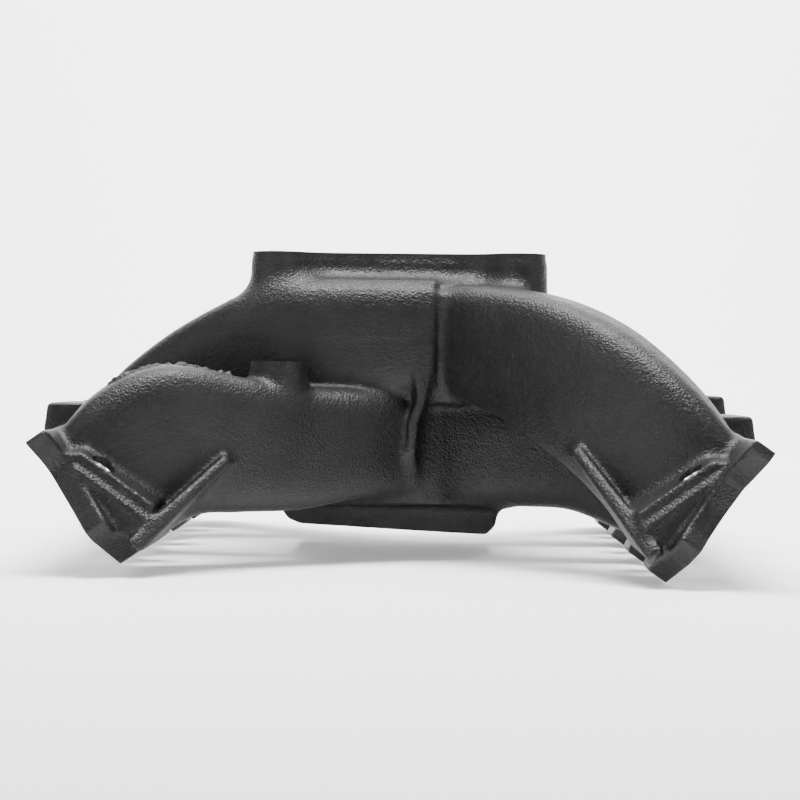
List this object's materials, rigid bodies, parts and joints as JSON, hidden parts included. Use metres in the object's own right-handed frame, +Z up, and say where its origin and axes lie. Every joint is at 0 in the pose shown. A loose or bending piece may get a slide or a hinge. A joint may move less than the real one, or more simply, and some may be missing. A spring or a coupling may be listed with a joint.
{
  "type": "intake manifold",
  "caption": "Black cast dual-plane intake manifold for a carburetted V8: square-bore pad, crossing runners, two sloping head flanges and an open valley.",
  "frame": {"origin": "centre of the carburettor pad, on its machined top face and on top of the plenum divider", "axes": "+Z up out of the carburettor pad, +Y towards the rear of the engine along the crankshaft, +X towards the right bank"},
  "size_m": [0.365, 0.4674, 0.1659],
  "materials": {
    "coated_casting": "satin black powder coat over a fine sand-cast surface, bare where machined",
    "insert_steel": "plain turned steel",
    "plug_steel": "plain steel, slightly dull",
    "seal_rubber": "moulded black rubber"
  },
  "bodies": {
    "root": {"manifold_casting": "coated_casting", "carb_insert_front_left": "insert_steel", "carb_insert_front_right": "insert_steel", "carb_insert_rear_left": "insert_steel", "carb_insert_rear_right": "insert_steel", "front_boss_plug": "plug_steel", "rear_boss_plug": "plug_steel", "port_seal_left_1": "seal_rubber", "port_seal_left_2": "seal_rubber", "port_seal_left_3": "seal_rubber", "port_seal_left_4": "seal_rubber", "port_seal_right_1": "seal_rubber", "port_seal_right_2": "seal_rubber", "port_seal_right_3": "seal_rubber", "port_seal_right_4": "seal_rubber"}
  },
  "joints": []
}
